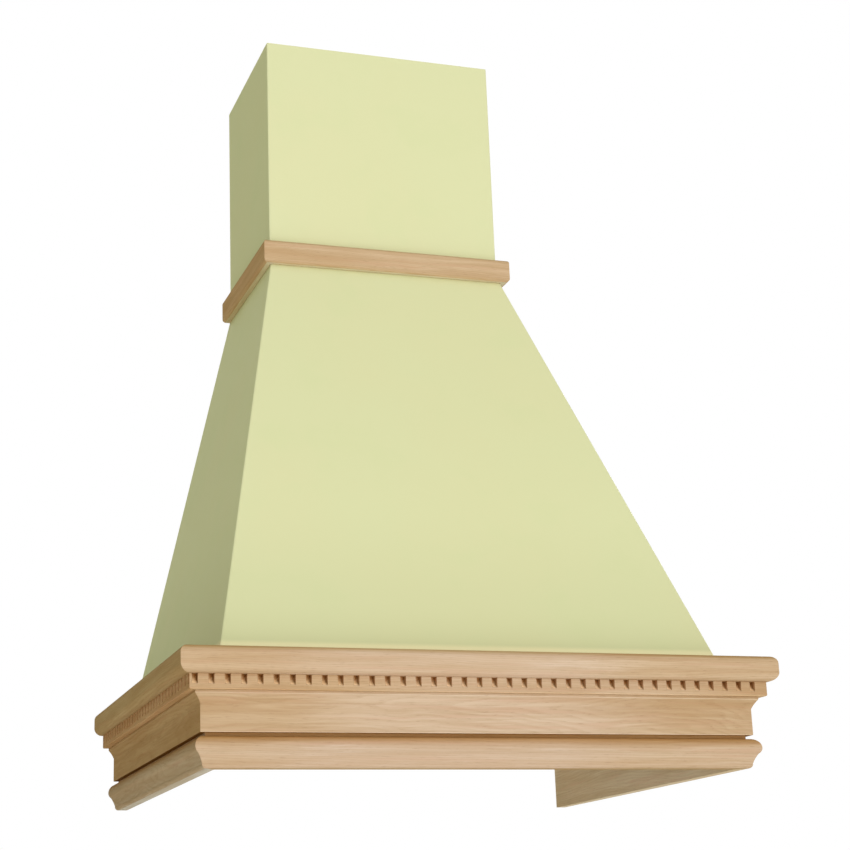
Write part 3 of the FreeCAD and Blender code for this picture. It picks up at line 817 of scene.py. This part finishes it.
def screw_rings(length, head_radius, radius):
    """The rings of a screw, from the bottom of its recess over the head to the tip."""
    corner = math.atan(RECESS_ARM / RECESS_REACH)
    quarter = (0.0, corner, math.pi / 4, math.pi / 2 - corner)
    angles = [q * math.pi / 2 + a for q in range(4) for a in quarter]
    rings = [[(a, RECESS_FLOOR * recess_radius(a), RECESS_DEPTH) for a in angles]]
    rings.append([(a, recess_radius(a), RECESS_RIM) for a in angles])
    for share, down in HEAD_RIM:
        rings.append([(a, share * head_radius, down) for a in angles])
    rings.append([(a, radius, HEAD_HEIGHT) for a in angles])
    plain_end = HEAD_HEIGHT + PLAIN_SHARE * (length - HEAD_HEIGHT)
    shank = 0.5 * (radius + SCREW_CORE)
    rings.append([(a, shank, HEAD_HEIGHT + NECK_HEIGHT) for a in angles])
    rings.append([(a, shank, plain_end) for a in angles])
    steps = int((length - plain_end - BARE_TIP) / SCREW_PITCH * THREAD_STEPS)
    for step in range(1, steps + 1):
        down = plain_end + step * SCREW_PITCH / THREAD_STEPS
        taper = min(1.0, (length - down) / SCREW_TAPER)
        ring = []
        for a in angles:
            phase = (step / THREAD_STEPS - a / (2 * math.pi)) % 1.0
            crest = max(0.0, 1.0 - abs(phase - 0.5) * THREAD_CREST)
            ring.append((a, taper * (SCREW_CORE + (radius - SCREW_CORE) * crest), down))
        rings.append(ring)
    rings.append([(a, SCREW_TIP, length) for a in angles])
    return rings


def add_screw(solid, rings, place):
    """Builds one screw into a bmesh: place turns its own mm into the part's frame."""
    loops = []
    for ring in rings:
        points = (Vector((r * math.cos(a), r * math.sin(a), d)) for a, r, d in ring)
        loops.append([solid.verts.new(place @ p) for p in points])
    count = len(loops[0])
    for upper, lower in zip(loops, loops[1:]):
        for i in range(count):
            j = (i + 1) % count
            solid.faces.new((upper[i], upper[j], lower[j], lower[i]))
    solid.faces.new(loops[0])
    solid.faces.new(loops[-1])


def loose_solids(node):
    """The groups of vertex places of a node's separate solids."""
    solid = welded_solid(node)
    left = set(solid.verts)
    groups = []
    while left:
        seed = next(v for v in solid.verts if v in left)
        group, rim = {seed}, [seed]
        while rim:
            vertex = rim.pop()
            for edge in vertex.link_edges:
                other = edge.other_vert(vertex)
                if other not in group:
                    group.add(other)
                    rim.append(other)
        left -= group
        groups.append([v.co.copy() for v in group])
    solid.free()
    return groups


def screws(node, direction):
    """Countersunk screws with a cross recess and a thread, where the node has them."""
    draw = random.Random(node)
    solid = bmesh.new()
    way = Vector(direction)
    for points in loose_solids(node):
        middle = sum(points, Vector()) / len(points)
        low = min(p.dot(way) for p in points)
        high = max(p.dot(way) for p in points)
        spread = [(p - middle) - way * (p - middle).dot(way) for p in points]
        ends = [min(s[i] for s in spread) + max(s[i] for s in spread) for i in range(3)]
        axis = middle + 0.5 * Vector(ends)
        head = axis + way * (low - axis.dot(way))
        head_radius = max(s.length for s in spread) / MM
        rings = screw_rings((high - low) / MM, head_radius, head_radius / 2)
        turn = way.to_track_quat("Z", "Y").to_matrix().to_4x4()
        spin = Matrix.Rotation(draw.uniform(0, math.pi / 2), 4, "Z")
        add_screw(solid, rings, Matrix.Translation(head) @ turn @ spin @ Matrix.Scale(MM, 4))
    bmesh.ops.recalc_face_normals(solid, faces=solid.faces)
    piece = new_piece(node + "_finished", solid)
    smooth_shading(piece, SCREW_SHARP_DEGREES)
    return piece


# ------------------------------------------------------------------ the cover

SCREW_WAYS = {
    "deck_screws": (0, 0, -1),
    "middle_frame_screws": (0, 1, 0),
    "chimney_screws": (0, 0, 1),
}


def grain_of(node):
    """The way that a piece's grain runs: along its own length."""
    low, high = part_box(node)
    return "xyz"[max(range(3), key=lambda i: (high - low)[i])]


def finish_for(node, slot, seed):
    if slot == "paint":
        return painted(node + "_paint", *outer_face(node), seed)
    if slot == "plywood":
        low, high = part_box(node)
        return plywood(node + "_plywood", grain_of(node), low.z, high.z, seed)
    species = {"oak": OAK, "softwood": PINE, "beech": BEECH}[slot]
    return wood(node, slot, species, grain_of(node), seed)


def dress_cover():
    steel = passivated_steel("screw_steel_finish")
    for seed, row in enumerate(frame["record"]["subparts"]):
        node, slot = row["node"], row["material_slot"]
        if node in SCREW_WAYS:
            settle(screws(node, SCREW_WAYS[node]), node, steel)
        else:
            settle(eased(node, slot), node, finish_for(node, slot, seed))


# ------------------------------------------------------------------ the studio

AIM = (0.0, 0.0, 0.42)
WHITE = (1.0, 1.0, 1.0)

# The lamps: place, the point each looks at, size, power and colour. The one under the
# cover looks straight up, so that it lights no floor.
LAMPS = {
    "key_lamp": ((-0.3, -2.7, -0.8), AIM, 1.8, 27.0, (1.0, 1.0, 1.15)),
    "under_lamp": ((-0.4, -1.0, -1.42), (-0.4, -1.0, 1.0), 1.8, 6.6, WHITE),
    "back_lamp": ((2.2, 2.2, 1.0), AIM, 1.6, 50.0, WHITE),
}

# The world's light on the cover: level with its sides, what it gains in front and
# loses at the wall, and the least of it.
SIDE_LIGHT = (0.446, 0.457, 0.297)
FRONT_LIGHT = (0.66, 0.65, 0.84)
LEAST_LIGHT = (0.09, 0.09, 0.08)


def add_floor():
    disc = bmesh.new()
    rings = []
    for r in range(1, FLOOR_RINGS + 1):
        radius = FLOOR_RADIUS * r / FLOOR_RINGS
        turns = (2 * math.pi * i / FLOOR_SIDES for i in range(FLOOR_SIDES))
        points = [(radius * math.cos(t), radius * math.sin(t), FLOOR_HEIGHT) for t in turns]
        rings.append([disc.verts.new(p) for p in points])
    disc.faces.new(rings[0])
    for inner, outer in zip(rings, rings[1:]):
        for i in range(FLOOR_SIDES):
            j = (i + 1) % FLOOR_SIDES
            disc.faces.new((inner[i], outer[i], outer[j], inner[j]))
    floor = new_piece("floor", disc)
    floor.data.materials.append(pale_floor("floor_finish"))


def light_world():
    """White where it is seen, and a plain soft light where it falls on the cover."""
    world = bpy.data.worlds.new("studio")
    world.use_nodes = True
    tree = world.node_tree
    tree.nodes.clear()
    path = tree.nodes.new("ShaderNodeLightPath")
    seen = path.outputs["Is Camera Ray"]
    for name in ("Is Glossy Ray", "Is Transmission Ray"):
        either = tree.nodes.new("ShaderNodeMath")
        either.operation = "MAXIMUM"
        tree.links.new(seen, either.inputs[0])
        tree.links.new(path.outputs[name], either.inputs[1])
        seen = either.outputs[0]
    light = tree.nodes.new("ShaderNodeTexCoord").outputs["Generated"]
    steps = (
        ("DOT_PRODUCT", (0.0, -1.0, 0.0)),
        ("MULTIPLY_ADD", FRONT_LIGHT, SIDE_LIGHT),
        ("MAXIMUM", LEAST_LIGHT),
    )
    for operation, *constants in steps:
        step = tree.nodes.new("ShaderNodeVectorMath")
        step.operation = operation
        tree.links.new(light, step.inputs[0])
        for socket, value in zip(step.inputs[1:], constants):
            socket.default_value = value
        light = step.outputs["Value" if operation == "DOT_PRODUCT" else "Vector"]
    soft, white = (tree.nodes.new("ShaderNodeBackground") for _ in range(2))
    tree.links.new(light, soft.inputs["Color"])
    white.inputs["Color"].default_value = (*WHITE, 1.0)
    blend = tree.nodes.new("ShaderNodeMixShader")
    for socket, value in zip(blend.inputs, (seen, soft.outputs[0], white.outputs[0])):
        tree.links.new(value, socket)
    output = tree.nodes.new("ShaderNodeOutputWorld")
    tree.links.new(blend.outputs[0], output.inputs["Surface"])
    bpy.context.scene.world = world


add_camera()
dress_cover()
add_floor()
light_world()
for name, settings in LAMPS.items():
    add_lamp(name, *settings)
bpy.context.scene.view_settings.view_transform = "Standard"
